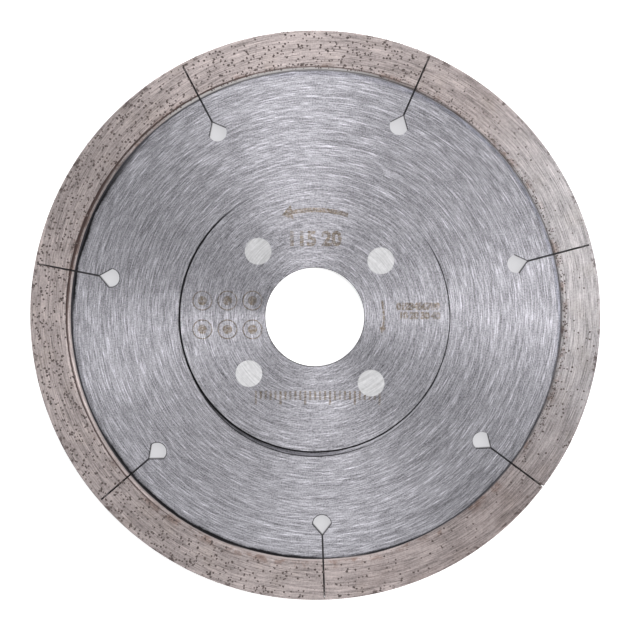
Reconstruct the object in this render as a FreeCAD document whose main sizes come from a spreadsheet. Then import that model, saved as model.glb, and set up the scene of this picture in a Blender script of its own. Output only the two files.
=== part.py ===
import FreeCAD, Part
import math
import os
import Sketcher

# Diamond cutting disc with a slotted rim and a riveted hub.
# The disc lies in the XY plane, with its front face towards +Z.
# The origin is the centre of the bore, half way through the thickness.

# Driving dimensions, in millimetres, degrees and plain counts
SIZES = [
    ("disc_dia", 115.0, "diameter over the diamond rim"),
    ("bore_dia", 20.0, "bore that goes over the spindle"),
    ("bore_chamfer", 0.15, "chamfer round each mouth of the bore"),
    ("core_thickness", 1.2, "thickness of the steel core"),
    ("rim_height", 8.0, "radial height of the diamond rim"),
    ("rim_cheek", 0.2, "how far each face of the rim stands proud of the core"),
    ("rim_seat", 2.0, "how far the rim reaches over the edge of the core"),
    ("rim_chamfer", 0.2, "chamfer on the outer corners of the rim"),
    ("lip_width", 0.6, "width of the slope along the inner edge of the rim"),
    ("lip_edge", 0.06, "height of the step at the foot of that slope"),
    ("flange_width", 17.2, "width of the stiffening flange, from the bore to its edge"),
    ("flange_thickness", 0.4, "thickness of one flange"),
    ("flange_chamfer", 0.12, "chamfer on the outer edge of a flange"),
    ("rivet_count", 4, "rivets through the hub"),
    ("rivet_inset", 7.5, "from the wall of the bore to the rivet centres"),
    ("rivet_dia", 4.4, "shank of a rivet"),
    ("rivet_flare", 0.5, "how much wider the countersunk head is, on the radius"),
    ("slot_count", 7, "slots through the rim"),
    ("slot_width", 0.25, "width of a slot"),
    ("slot_reach", 7.5, "from the inner edge of the rim to the keyhole centre"),
    ("keyhole_radius", 1.85, "radius of the round half of a keyhole"),
    ("keyhole_point", 2.25, "from the keyhole centre to its pointed end"),
    ("slot_overrun", 1.0, "how far a cut runs on past the edge that it opens"),
    ("clock_angle", 14.87, "turn of the whole disc about its axis"),
]

# Lengths that follow from the driving ones
BORE_RADIUS = "Sizes.bore_dia / 2"
RIM_OUTER = "Sizes.disc_dia / 2"
RIM_INNER = "(Sizes.disc_dia / 2 - Sizes.rim_height)"
CORE_RADIUS = RIM_INNER + " + Sizes.rim_seat"
CORE_HALF = "Sizes.core_thickness / 2"
RIM_HALF = "(Sizes.core_thickness / 2 + Sizes.rim_cheek)"
HUB_HALF = "(Sizes.core_thickness / 2 + Sizes.flange_thickness)"
FLANGE_RADIUS = "(Sizes.bore_dia / 2 + Sizes.flange_width)"
RIVET_CIRCLE = "(Sizes.bore_dia / 2 + Sizes.rivet_inset)"
SHANK_RADIUS = "Sizes.rivet_dia / 2"
HEAD_RADIUS = "(Sizes.rivet_dia / 2 + Sizes.rivet_flare)"
KEYHOLE_CIRCLE = RIM_INNER + " - Sizes.slot_reach"
SLOT_PITCH = "360 / Sizes.slot_count"
HALF_PITCH = "180 / Sizes.slot_count"
THROUGH_CORE = "2 * Sizes.core_thickness"
FULL_TURN = 360

doc = FreeCAD.newDocument("diamond_cutting_disc")


def fill_sheet():
    """Put every driving dimension on its own named row."""
    sheet = doc.addObject("Spreadsheet::Sheet", "Sizes")
    for row, (alias, value, meaning) in enumerate(SIZES, start=1):
        sheet.set("A%d" % row, meaning)
        sheet.set("B%d" % row, str(value))
        sheet.setAlias("B%d" % row, alias)
    doc.recompute()
    return sheet


def new_body(label, turn="0"):
    """A body turned about the disc's axis, on top of the turn that the whole disc has."""
    body = doc.addObject("PartDesign::Body", label)
    body.Label = label
    angle = "Sizes.clock_angle + " + turn
    body.setExpression("Placement", "placement(vector(0; 0; 0); rotation(vector(0; 0; 1); %s))" % angle)
    return body


def origin_part(body, role):
    """The body's own origin plane or axis with the given role."""
    return next(item for item in body.Origin.OriginFeatures if item.Role == role)


def new_sketch(body, name, role):
    sketch = body.newObject("Sketcher::SketchObject", name)
    sketch.AttachmentSupport = (origin_part(body, role), [""])
    sketch.MapMode = "FlatFace"
    return sketch


# A point of a sketch is an edge and one of its ends; the sketch's own origin is edge -1
START, END, CENTRE = 1, 2, 3
ORIGIN = (-1, 1)
X_LINE = -1


def value_of(sketch, expression):
    return float(sketch.evalExpression(expression))


def drive(sketch, kind, places, expression):
    """Add a dimension and tie it to the sheet."""
    value = value_of(sketch, expression)
    index = sketch.addConstraint(Sketcher.Constraint(kind, *places, value))
    sketch.setExpression("Constraints[%d]" % index, expression)


def drive_angle(sketch, line, expression):
    """Hold a line at an angle in degrees from the sketch's X line."""
    degrees = value_of(sketch, expression)
    sketch.addConstraint(Sketcher.Constraint("Angle", line, math.radians(degrees)))
    sketch.setExpression("Constraints[%d]" % (sketch.ConstraintCount - 1), "1deg * " + expression)


def place(sketch, point, x, y):
    """Hold a point at the given distances from the sketch's origin."""
    drive(sketch, "DistanceX", (*ORIGIN, *point), x)
    drive(sketch, "DistanceY", (*ORIGIN, *point), y)


def add_line(sketch, start, end, construction=False):
    line = Part.LineSegment(FreeCAD.Vector(*start, 0), FreeCAD.Vector(*end, 0))
    return sketch.addGeometry(line, construction)


def add_circle(sketch, radius):
    """A circle round the sketch's origin."""
    size = value_of(sketch, radius)
    circle = sketch.addGeometry(Part.Circle(FreeCAD.Vector(), FreeCAD.Vector(0, 0, 1), size))
    sketch.addConstraint(Sketcher.Constraint("Coincident", circle, CENTRE, *ORIGIN))
    drive(sketch, "Radius", (circle,), radius)
    return circle


def add_outline(sketch, corners):
    """A closed outline of straight edges through corners that are given as expressions."""
    values = [(value_of(sketch, x), value_of(sketch, y)) for x, y in corners]
    edges = [add_line(sketch, values[i - 1], values[i]) for i in range(len(values))]
    for i, (x, y) in enumerate(corners):
        following = edges[(i + 1) % len(edges)]
        sketch.addConstraint(Sketcher.Constraint("Coincident", edges[i], END, following, START))
        place(sketch, (edges[i], END), x, y)


def add_axis(sketch, x):
    """A construction line across the sketch's X line, for features that turn about it."""
    along = value_of(sketch, x)
    axis = add_line(sketch, (along, 0), (along, value_of(sketch, CORE_HALF)), construction=True)
    sketch.addConstraint(Sketcher.Constraint("Vertical", axis))
    sketch.addConstraint(Sketcher.Constraint("PointOnObject", axis, START, X_LINE))
    drive(sketch, "DistanceX", (*ORIGIN, axis, START), x)
    drive(sketch, "Distance", (axis,), CORE_HALF)


def add_pad(body, sketch, length):
    pad = body.newObject("PartDesign::Pad", sketch.Name + "Pad")
    pad.Profile = sketch
    pad.SideType = "Symmetric"
    pad.setExpression("Length", length)
    return pad


def add_pocket(body, sketch, length):
    """Cut the sketch through the body, as far on each side of the sketch's plane."""
    pocket = body.newObject("PartDesign::Pocket", sketch.Name + "Pocket")
    pocket.Profile = sketch
    pocket.SideType = "Symmetric"
    pocket.setExpression("Length", length)
    return pocket


def add_turned(body, sketch, kind, axis="V_Axis"):
    """Turn the sketch a full circle, to add material or to cut it away."""
    turned = body.newObject("PartDesign::" + kind, sketch.Name + kind)
    turned.Profile = sketch
    turned.ReferenceAxis = (sketch, [axis])
    turned.Angle = FULL_TURN
    return turned


def add_ring_of(body, feature, count):
    """Repeat a feature all round the disc's axis."""
    pattern = body.newObject("PartDesign::PolarPattern", feature.Name + "Ring")
    pattern.Originals = [feature]
    pattern.Axis = (origin_part(body, "Z_Axis"), [""])
    pattern.Angle = FULL_TURN
    pattern.setExpression("Occurrences", count)
    body.Tip = pattern
    return pattern


# Steel core


def draw_slot(sketch):
    """A slot along +X that starts in a keyhole, round towards the hub and pointed towards the rim."""
    centre_x = value_of(sketch, KEYHOLE_CIRCLE)
    radius = value_of(sketch, "Sizes.keyhole_radius")
    tip_x = centre_x + value_of(sketch, "Sizes.keyhole_point")
    half = value_of(sketch, "Sizes.slot_width / 2")
    end_x = value_of(sketch, CORE_RADIUS + " + Sizes.slot_overrun")
    shoulder_x = tip_x - half

    circle = Part.Circle(FreeCAD.Vector(centre_x, 0, 0), FreeCAD.Vector(0, 0, 1), radius)
    bulb = sketch.addGeometry(Part.ArcOfCircle(circle, math.radians(90), math.radians(270)))
    upper = add_line(sketch, (centre_x, radius), (shoulder_x, half))
    upper_flank = add_line(sketch, (shoulder_x, half), (end_x, half))
    mouth = add_line(sketch, (end_x, half), (end_x, -half))
    lower_flank = add_line(sketch, (end_x, -half), (shoulder_x, -half))
    lower = add_line(sketch, (shoulder_x, -half), (centre_x, -radius))
    point = sketch.addGeometry(Part.Point(FreeCAD.Vector(tip_x, 0, 0)), True)

    chain = [(upper, upper_flank), (upper_flank, mouth), (mouth, lower_flank), (lower_flank, lower)]
    for edge, following in chain:
        sketch.addConstraint(Sketcher.Constraint("Coincident", edge, END, following, START))
    sketch.addConstraint(Sketcher.Constraint("Coincident", bulb, START, upper, START))
    sketch.addConstraint(Sketcher.Constraint("Coincident", bulb, END, lower, END))
    for edge in (upper_flank, lower_flank):
        sketch.addConstraint(Sketcher.Constraint("Horizontal", edge))
    for end in (START, END):
        sketch.addConstraint(Sketcher.Constraint("Vertical", bulb, CENTRE, bulb, end))
    for edge in (upper, lower):
        sketch.addConstraint(Sketcher.Constraint("PointOnObject", point, START, edge))
    for spot in ((bulb, CENTRE), (point, START)):
        sketch.addConstraint(Sketcher.Constraint("PointOnObject", *spot, X_LINE))
    sketch.addConstraint(Sketcher.Constraint("Symmetric", mouth, START, mouth, END, X_LINE))
    drive(sketch, "DistanceX", (*ORIGIN, bulb, CENTRE), KEYHOLE_CIRCLE)
    drive(sketch, "Radius", (bulb,), "Sizes.keyhole_radius")
    drive(sketch, "DistanceX", (bulb, CENTRE, point, START), "Sizes.keyhole_point")
    drive(sketch, "DistanceX", (*ORIGIN, mouth, START), CORE_RADIUS + " + Sizes.slot_overrun")
    drive(sketch, "Distance", (mouth,), "Sizes.slot_width")


def draw_rivet_hole(sketch):
    """A hole for a shank, half way between the direction of one slot and the next."""
    angle = math.radians(value_of(sketch, HALF_PITCH))
    reach = value_of(sketch, RIVET_CIRCLE)
    centre = (reach * math.cos(angle), reach * math.sin(angle))
    spoke = add_line(sketch, (0, 0), centre, construction=True)
    circle = Part.Circle(FreeCAD.Vector(*centre, 0), FreeCAD.Vector(0, 0, 1), value_of(sketch, SHANK_RADIUS))
    hole = sketch.addGeometry(circle)
    sketch.addConstraint(Sketcher.Constraint("Coincident", spoke, START, *ORIGIN))
    sketch.addConstraint(Sketcher.Constraint("Coincident", spoke, END, hole, CENTRE))
    drive(sketch, "Distance", (spoke,), RIVET_CIRCLE)
    drive_angle(sketch, spoke, HALF_PITCH)
    drive(sketch, "Radius", (hole,), SHANK_RADIUS)


def make_core():
    body = new_body("steel_core")
    plate = new_sketch(body, "CorePlate", "XY_Plane")
    add_circle(plate, CORE_RADIUS)
    add_circle(plate, BORE_RADIUS)
    add_pad(body, plate, "Sizes.core_thickness")

    slot = new_sketch(body, "SlotWithKeyhole", "XY_Plane")
    draw_slot(slot)
    add_ring_of(body, add_pocket(body, slot, THROUGH_CORE), "Sizes.slot_count")

    hole = new_sketch(body, "ShankHole", "XY_Plane")
    draw_rivet_hole(hole)
    add_ring_of(body, add_pocket(body, hole, THROUGH_CORE), "Sizes.rivet_count")
    return body


# Stiffening flanges and the rivets that hold them


def make_flange(label, side):
    """One flange, bored and chamfered, on the face of the core that side gives (+1 front, -1 rear)."""
    inner = "%d * %s" % (side, CORE_HALF)
    outer = "%d * %s" % (side, HUB_HALF)
    body = new_body(label, HALF_PITCH)
    section = new_sketch(body, label + "_section", "XZ_Plane")
    add_outline(section, [
        (BORE_RADIUS, inner),
        (FLANGE_RADIUS, inner),
        (FLANGE_RADIUS, "%s - %d * Sizes.flange_chamfer" % (outer, side)),
        (FLANGE_RADIUS + " - Sizes.flange_chamfer", outer),
        (BORE_RADIUS + " + Sizes.bore_chamfer", outer),
        (BORE_RADIUS, "%s - %d * Sizes.bore_chamfer" % (outer, side)),
    ])
    add_turned(body, section, "Revolution")

    sink = new_sketch(body, label + "_countersink", "XZ_Plane")
    add_outline(sink, [
        (RIVET_CIRCLE, inner),
        (RIVET_CIRCLE + " + " + SHANK_RADIUS, inner),
        (RIVET_CIRCLE + " + " + HEAD_RADIUS, outer),
        (RIVET_CIRCLE, outer),
    ])
    add_axis(sink, RIVET_CIRCLE)
    add_ring_of(body, add_turned(body, sink, "Groove", "Axis0"), "Sizes.rivet_count")
    return body


def make_rivets():
    """Four rivets, each with a straight shank in the core and a cone in either flange."""
    body = new_body("rivets", HALF_PITCH)
    body.AllowCompound = True
    half = new_sketch(body, "RivetSection", "XZ_Plane")
    add_outline(half, [
        (RIVET_CIRCLE, "-" + HUB_HALF),
        (RIVET_CIRCLE + " + " + HEAD_RADIUS, "-" + HUB_HALF),
        (RIVET_CIRCLE + " + " + SHANK_RADIUS, "-" + CORE_HALF),
        (RIVET_CIRCLE + " + " + SHANK_RADIUS, CORE_HALF),
        (RIVET_CIRCLE + " + " + HEAD_RADIUS, HUB_HALF),
        (RIVET_CIRCLE, HUB_HALF),
    ])
    add_axis(half, RIVET_CIRCLE)
    add_ring_of(body, add_turned(body, half, "Revolution", "Axis0"), "Sizes.rivet_count")
    return body


# Diamond rim


def draw_segment_plan(sketch):
    """A rim segment from above, with its middle on +X and its ends parallel to the slots beside it."""
    outer = value_of(sketch, RIM_OUTER)
    inner = value_of(sketch, RIM_INNER)
    half_slot = value_of(sketch, "Sizes.slot_width / 2")
    half_pitch = math.radians(value_of(sketch, HALF_PITCH))

    def beside_slot(radius, offset, side):
        """A point this far out along the middle of a slot, and offset from it towards the segment."""
        x = radius * math.cos(half_pitch) + offset * math.sin(half_pitch)
        y = radius * math.sin(half_pitch) - offset * math.cos(half_pitch)
        return (x, side * y)

    arcs = []
    for radius in (outer, inner):
        circle = Part.Circle(FreeCAD.Vector(), FreeCAD.Vector(0, 0, 1), radius)
        arcs.append(sketch.addGeometry(Part.ArcOfCircle(circle, -half_pitch, half_pitch)))
    far, near = arcs
    upper = add_line(sketch, beside_slot(inner, half_slot, 1), beside_slot(outer, half_slot, 1))
    lower = add_line(sketch, beside_slot(inner, half_slot, -1), beside_slot(outer, half_slot, -1))
    spoke = add_line(sketch, (0, 0), beside_slot(inner, 0, 1), construction=True)

    for arc in arcs:
        sketch.addConstraint(Sketcher.Constraint("Coincident", arc, CENTRE, *ORIGIN))
        sketch.addConstraint(Sketcher.Constraint("Symmetric", arc, START, arc, END, X_LINE))
    drive(sketch, "Radius", (far,), RIM_OUTER)
    drive(sketch, "Radius", (near,), RIM_INNER)
    for arc, line_end in ((near, START), (far, END)):
        sketch.addConstraint(Sketcher.Constraint("Coincident", arc, END, upper, line_end))
        sketch.addConstraint(Sketcher.Constraint("Coincident", arc, START, lower, line_end))
    sketch.addConstraint(Sketcher.Constraint("Coincident", spoke, START, *ORIGIN))
    drive(sketch, "Distance", (spoke,), RIM_INNER)
    drive_angle(sketch, spoke, HALF_PITCH)
    sketch.addConstraint(Sketcher.Constraint("Parallel", spoke, upper))
    drive(sketch, "Distance", (*ORIGIN, upper), "Sizes.slot_width / 2")


def draw_segment_relief(sketch):
    """What is turned off a segment: the seat for the core, the inner lips and the outer corners."""
    clear_inside = RIM_INNER + " - Sizes.slot_overrun"
    clear_outside = RIM_OUTER + " + Sizes.slot_overrun"
    add_outline(sketch, [
        (clear_inside, "-" + CORE_HALF),
        (CORE_RADIUS, "-" + CORE_HALF),
        (CORE_RADIUS, CORE_HALF),
        (clear_inside, CORE_HALF),
    ])
    for side in ("", "-"):
        face = side + RIM_HALF
        above = side + "(%s + Sizes.slot_overrun)" % RIM_HALF
        lip_foot = side + "(%s + Sizes.lip_edge)" % CORE_HALF
        add_outline(sketch, [
            (RIM_INNER, lip_foot),
            (RIM_INNER + " + Sizes.lip_width", face),
            (RIM_INNER + " + Sizes.lip_width", above),
            (clear_inside, above),
            (clear_inside, lip_foot),
        ])
        add_outline(sketch, [
            (RIM_OUTER + " - Sizes.rim_chamfer", face),
            (RIM_OUTER, side + "(%s - Sizes.rim_chamfer)" % RIM_HALF),
            (clear_outside, side + "(%s - Sizes.rim_chamfer)" % RIM_HALF),
            (clear_outside, above),
            (RIM_OUTER + " - Sizes.rim_chamfer", above),
        ])


def make_rim_segment(number):
    """The segment between one slot and the next, counted the way that angles are."""
    middle = "(%d - 0.5) * %s" % (number, SLOT_PITCH)
    body = new_body("rim_segment_%d" % number, middle)
    plan = new_sketch(body, "SegmentPlan%d" % number, "XY_Plane")
    draw_segment_plan(plan)
    add_pad(body, plan, "2 * " + RIM_HALF)
    relief = new_sketch(body, "SegmentRelief%d" % number, "XZ_Plane")
    draw_segment_relief(relief)
    body.Tip = add_turned(body, relief, "Groove")
    return body


def check_model(bodies):
    """Stop if any object failed to compute or any sub-part is not a sound solid."""
    for item in doc.Objects:
        if "Invalid" in item.State or "Error" in item.State:
            raise RuntimeError("%s did not compute: %s" % (item.Name, item.State))
    for body in bodies:
        if body.Shape.isNull() or not body.Shape.isValid() or not body.Shape.Solids:
            raise RuntimeError("%s has no sound solid" % body.Label)


sizes = fill_sheet()
bodies = [make_core(), make_flange("front_flange", 1), make_flange("rear_flange", -1), make_rivets()]
bodies += [make_rim_segment(number) for number in range(1, int(sizes.slot_count) + 1)]
doc.recompute()
check_model(bodies)

os.makedirs("parts", exist_ok=True)
for body in bodies:
    body.Shape.exportStep(os.path.join("parts", body.Label + ".step"))
    print("%s: %d solids, %.2f cubic mm" % (body.Label, len(body.Shape.Solids), body.Shape.Volume))
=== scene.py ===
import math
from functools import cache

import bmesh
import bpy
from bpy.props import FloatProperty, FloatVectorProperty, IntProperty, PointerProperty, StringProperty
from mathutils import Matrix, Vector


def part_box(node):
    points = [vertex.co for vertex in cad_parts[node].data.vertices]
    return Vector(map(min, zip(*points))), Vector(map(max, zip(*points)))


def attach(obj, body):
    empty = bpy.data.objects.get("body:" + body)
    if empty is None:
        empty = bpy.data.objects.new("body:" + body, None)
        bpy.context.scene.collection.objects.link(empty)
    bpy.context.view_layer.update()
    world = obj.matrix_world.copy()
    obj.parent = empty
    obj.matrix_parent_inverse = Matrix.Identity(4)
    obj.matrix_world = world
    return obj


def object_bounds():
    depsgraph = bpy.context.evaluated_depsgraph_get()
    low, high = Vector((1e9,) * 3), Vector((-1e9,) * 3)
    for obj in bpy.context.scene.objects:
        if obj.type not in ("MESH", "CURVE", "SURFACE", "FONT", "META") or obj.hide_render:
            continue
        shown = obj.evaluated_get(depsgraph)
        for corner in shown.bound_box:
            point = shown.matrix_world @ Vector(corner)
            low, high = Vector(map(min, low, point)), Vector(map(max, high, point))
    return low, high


bl_info = {
    "name": "Diamond Cutting Disc",
    "version": (1, 0, 0),
    "blender": (4, 5, 0),
    "location": "View3D > Sidebar > Cutting Disc",
    "description": "Finishes a slotted diamond cutting disc and sets it on a pale studio floor",
    "category": "Object",
}

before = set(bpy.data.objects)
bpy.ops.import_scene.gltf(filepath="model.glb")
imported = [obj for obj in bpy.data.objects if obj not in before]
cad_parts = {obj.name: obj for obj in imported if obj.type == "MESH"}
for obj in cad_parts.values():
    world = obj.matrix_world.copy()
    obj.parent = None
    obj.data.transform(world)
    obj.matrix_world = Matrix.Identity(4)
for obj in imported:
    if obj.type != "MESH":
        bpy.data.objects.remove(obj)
CAD_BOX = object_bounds()

MM = 0.001
BODY = "root"


# The disc's own sizes, read from the frame


def reach(node):
    """The smallest and largest distance of a node's points from the disc's axis."""
    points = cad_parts[node].data.vertices
    radii = [math.hypot(point.co.x, point.co.y) for point in points]
    return min(radii), max(radii)


def first_side(node):
    """The direction in which a node that doesn't cross the -X axis starts, in radians."""
    return min(math.atan2(point.co.y, point.co.x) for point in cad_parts[node].data.vertices)


RIM_NODES = sorted(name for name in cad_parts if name.startswith("rim_segment_"))
BORE_EDGE, FLANGE_EDGE = reach("front_flange")
RIM_FOOT, RIM_EDGE = reach(RIM_NODES[0])
FLANGE_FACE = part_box("front_flange")[1][2]
RIM_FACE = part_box(RIM_NODES[0])[1][2]
FLOOR_LEVEL = CAD_BOX[0][2]

# The slots run from the keyholes' points to the edge; the first one is beside the first segment
SLOT_PITCH = math.tau / len(RIM_NODES)
SLOT_HALF_WIDTH = 0.125 * MM
FIRST_SLOT = first_side(RIM_NODES[0]) - math.asin(SLOT_HALF_WIDTH / RIM_FOOT)
KEYHOLE_DISTANCE = 42.0 * MM
KEYHOLE_RADIUS = 1.85 * MM
KEYHOLE_POINT = 2.25 * MM
RIM_CHAMFER = 0.2 * MM

# The rivet nearest to the graduation, whose head the bars stop at
RIVET_CIRCLE = 17.5 * MM
RIVET_HEAD = 2.7 * MM


def polar(distance, degrees):
    """A place in the plane of the disc, by its distance from the axis and its direction."""
    angle = math.radians(degrees)
    return Vector((distance * math.cos(angle), distance * math.sin(angle), 0.0))


AXIS = Vector((0.0, 0.0, 0.0))


# Sizes and colours that a user would change


def colour_setting(name, description, *rgb):
    return FloatVectorProperty(name=name, description=description, subtype="COLOR", size=4,
                               min=0.0, max=1.0, default=(*rgb, 1.0))


def length_setting(name, description, default, least=0.0):
    return FloatProperty(name=name, description=description, subtype="DISTANCE", default=default, min=least)


class SteelFinish(bpy.types.PropertyGroup):
    colour: colour_setting("Steel", "Colour of the freshly ground steel", 0.405, 0.396, 0.428)
    rivet_colour: colour_setting("Rivets", "Colour of the rivet heads", 0.63, 0.625, 0.635)
    streak_width: length_setting("Streak width", "Width of one grinding mark", 0.155 * MM, 0.01 * MM)
    streak_length: length_setting("Streak length", "Length of one grinding mark", 5.2 * MM, 0.1 * MM)
    roughness: FloatProperty(
        name="Roughness", description="How matt the ground steel is",
        subtype="FACTOR", default=0.46, min=0.0, max=1.0)
    anisotropy: FloatProperty(
        name="Anisotropy", description="How far the grinding marks spread the highlights outwards",
        subtype="FACTOR", default=0.75, min=0.0, max=1.0)
    groove_depth: length_setting("Groove depth", "Depth of the grinding marks", 0.02 * MM)


class RimFinish(bpy.types.PropertyGroup):
    colour: colour_setting("Matrix", "Colour of the sintered bronze between the grains", 0.408, 0.355, 0.347)
    # Painted highlight: the greyer, lighter colour that the matrix takes towards the right, where the right
    # lamp's highlight falls
    highlight_colour: colour_setting(
        "Matrix highlight", "Colour of the painted highlight on the matrix towards the right", 0.43, 0.405, 0.411)
    pit_colour: colour_setting("Pits", "Colour of the small pits between the grains", 0.07, 0.05, 0.045)
    grain_size: length_setting("Grain size", "Radius of the largest diamond grain", 0.45 * MM, 0.01 * MM)
    grain_density: FloatProperty(
        name="Grains per square metre", description="How close the grains lie where there are most of them",
        default=1.35e6, min=0.0)
    seed: IntProperty(name="Seed", description="Where the grains fall", default=7)


class MarkSizes(bpy.types.PropertyGroup):
    colour: colour_setting("Marks", "What a laser leaves of the steel's colour", 0.57, 0.48, 0.355)
    thickness: length_setting("Thickness", "How far a mark stands above the steel", 0.012 * MM, 0.001 * MM)
    figures: StringProperty(name="Figures", description="Plain numbers above the bore", default="115 20")


class Studio(bpy.types.PropertyGroup):
    floor_colour: colour_setting("Floor", "Colour of the pale floor", 0.92, 0.92, 0.92)
    shaded_colour: colour_setting(
        "Shaded floor", "Colour of the floor below the disc, which shows in the keyholes", 0.14, 0.14, 0.14)
    floor_glow: FloatProperty(
        name="Floor glow", description="Light that comes through the floor, as on a light table",
        default=0.6, min=0.0)
    shaded_glow: colour_setting(
        "Shaded glow", "Light that comes through the floor below the disc", 0.558, 0.554, 0.574)
    sky: FloatProperty(
        name="Sky", description="Brightness of the even light from all sides", default=0.495, min=0.0)
    lamp_power: FloatProperty(
        name="Lamp power", description="Power of each light box", subtype="POWER", default=4.8, min=0.0)
    camera_distance: length_setting("Camera distance", "From the camera to the disc", 450 * MM, 100 * MM)
    camera_lean: FloatProperty(
        name="Camera lean", description="How far the camera leans away from the disc's axis",
        subtype="ANGLE", default=math.radians(3.3))


# Nodes


class NodeSheet:
    """Adds nodes to a tree and links them, so that a finish reads like a formula."""

    def __init__(self, tree):
        self.tree = tree

    def add(self, kind, **settings):
        node = self.tree.nodes.new(kind)
        for name, value in settings.items():
            setattr(node, name, value)
        return node

    def feed(self, socket, value):
        if isinstance(value, bpy.types.NodeSocket):
            self.tree.links.new(value, socket)
        else:
            socket.default_value = value

    def fill(self, node, **values):
        """Feed inputs by name, with underscores for blanks."""
        for name, value in values.items():
            self.feed(node.inputs[name.replace("_", " ")], value)
        return node

    def maths(self, operation, *values):
        node = self.add("ShaderNodeMath", operation=operation)
        for socket, value in zip(node.inputs, values):
            self.feed(socket, value)
        return node.outputs[0]

    def vector(self, operation, *values):
        node = self.add("ShaderNodeVectorMath", operation=operation)
        for socket, value in zip(node.inputs, values):
            self.feed(socket, value)
        return node.outputs["Value" if operation in {"LENGTH", "DOT_PRODUCT"} else "Vector"]

    def scaled(self, vector, factor):
        node = self.add("ShaderNodeVectorMath", operation="SCALE")
        self.feed(node.inputs["Vector"], vector)
        self.feed(node.inputs["Scale"], factor)
        return node.outputs["Vector"]

    def ramp(self, value, low, high, start=0.0, end=1.0):
        """Go smoothly from start to end while the value goes from low to high."""
        node = self.add("ShaderNodeMapRange", interpolation_type="SMOOTHSTEP")
        self.fill(node, Value=value, From_Min=low, From_Max=high, To_Min=start, To_Max=end)
        return node.outputs["Result"]

    def swing(self, value, amount, onto):
        """Add the value's distance from its middle of 0.5, times an amount, to a number."""
        return self.maths("MULTIPLY_ADD", self.maths("SUBTRACT", value, 0.5), amount, onto)

    def blend(self, factor, first, second, how="MIX"):
        node = self.add("ShaderNodeMix", data_type="RGBA", blend_type=how)
        for index, value in zip((0, 6, 7), (factor, first, second)):
            self.feed(node.inputs[index], value)
        return node.outputs[2]

    def noise(self, vector, scale, detail=2.0, roughness=0.5):
        node = self.add("ShaderNodeTexNoise")
        self.fill(node, Vector=vector, Scale=scale, Detail=detail, Roughness=roughness)
        return node.outputs["Fac"]

    def place(self):
        """The place on the piece, in metres from the centre of the bore."""
        return self.add("ShaderNodeTexCoord").outputs["Object"]

    def flat(self, vector):
        """The vector without its height."""
        return self.vector("MULTIPLY", vector, (1.0, 1.0, 0.0))

    def combined(self, **parts):
        return self.fill(self.add("ShaderNodeCombineXYZ"), **parts).outputs[0]

    def separated(self, value, kind="XYZ"):
        node = self.add("ShaderNodeSeparate" + kind)
        self.feed(node.inputs[0], value)
        return node.outputs

    def group(self, tree, **values):
        node = self.add("ShaderNodeGroup", node_tree=tree)
        self.fill(node, **values)
        return node.outputs[0]


SOCKET_TYPES = {float: "NodeSocketFloat", int: "NodeSocketInt", tuple: "NodeSocketVector"}


def new_group(name, kind, inputs, outputs):
    """A node group with named sockets. inputs maps a name to a value, or to a socket type without one."""
    tree = bpy.data.node_groups.new(name, kind)
    for label, value in inputs.items():
        has_value = not isinstance(value, str)
        socket_type = SOCKET_TYPES[type(value)] if has_value else value
        socket = tree.interface.new_socket(label, in_out="INPUT", socket_type=socket_type)
        if has_value:
            socket.default_value = value
    for label, socket_type in outputs.items():
        tree.interface.new_socket(label, in_out="OUTPUT", socket_type=socket_type)
    sheet = NodeSheet(tree)
    return sheet, sheet.add("NodeGroupInput").outputs, sheet.add("NodeGroupOutput").inputs


@cache
def grinding_marks_group():
    """Fine arcs round a centre, as a grinding wheel leaves them, as long near the bore as at the rim."""
    sheet, given, result = new_group("Grinding Marks", "ShaderNodeTree", {
        "Centre": (0.0, 0.0, 0.0),
        "Width": 0.2 * MM,
        "Length": 4 * MM,
        "Start": 0.0,
    }, {"Marks": "NodeSocketFloat"})
    arm = sheet.flat(sheet.vector("SUBTRACT", sheet.place(), given["Centre"]))
    along = sheet.scaled(arm, sheet.maths("DIVIDE", 1.0, given["Length"]))
    across = sheet.maths("DIVIDE", sheet.vector("LENGTH", arm), given["Width"])
    lift = sheet.combined(Z=sheet.maths("ADD", across, given["Start"]))
    sheet.feed(result["Marks"], sheet.noise(sheet.vector("ADD", along, lift), 1.0, detail=1.5))
    return sheet.tree


@cache
def circle_group():
    """1 outside a circle in the plane of the disc, and 0 inside, with a ragged and wavy border."""
    sheet, given, result = new_group("Outside Circle", "ShaderNodeTree", {
        "Centre": (0.0, 0.0, 0.0),
        "Radius": 10 * MM,
        "Softness": 0.1 * MM,
        "Raggedness": 0.0,
        "Waviness": 0.0,
    }, {"Outside": "NodeSocketFloat"})
    place = sheet.place()
    distance = sheet.vector("LENGTH", sheet.flat(sheet.vector("SUBTRACT", place, given["Centre"])))
    ragged = sheet.noise(place, 900.0, detail=3.0, roughness=0.7)
    distance = sheet.swing(ragged, given["Raggedness"], distance)
    distance = sheet.swing(sheet.noise(place, 110.0, detail=1.0), given["Waviness"], distance)
    low = sheet.maths("SUBTRACT", given["Radius"], given["Softness"])
    high = sheet.maths("ADD", given["Radius"], given["Softness"])
    sheet.feed(result["Outside"], sheet.ramp(distance, low, high))
    return sheet.tree


@cache
def sector_group():
    """1 in one direction from the axis, and 0 on the far side, with a soft change between."""
    sheet, given, result = new_group("Sector", "ShaderNodeTree", {
        "Direction": (1.0, 0.0, 0.0),
        "Fade Start": 0.0,
        "Fade End": 1.0,
    }, {"Inside": "NodeSocketFloat"})
    heading = sheet.vector("NORMALIZE", sheet.flat(sheet.place()))
    along = sheet.vector("DOT_PRODUCT", heading, given["Direction"])
    sheet.feed(result["Inside"], sheet.ramp(along, given["Fade Start"], given["Fade End"]))
    return sheet.tree


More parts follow.
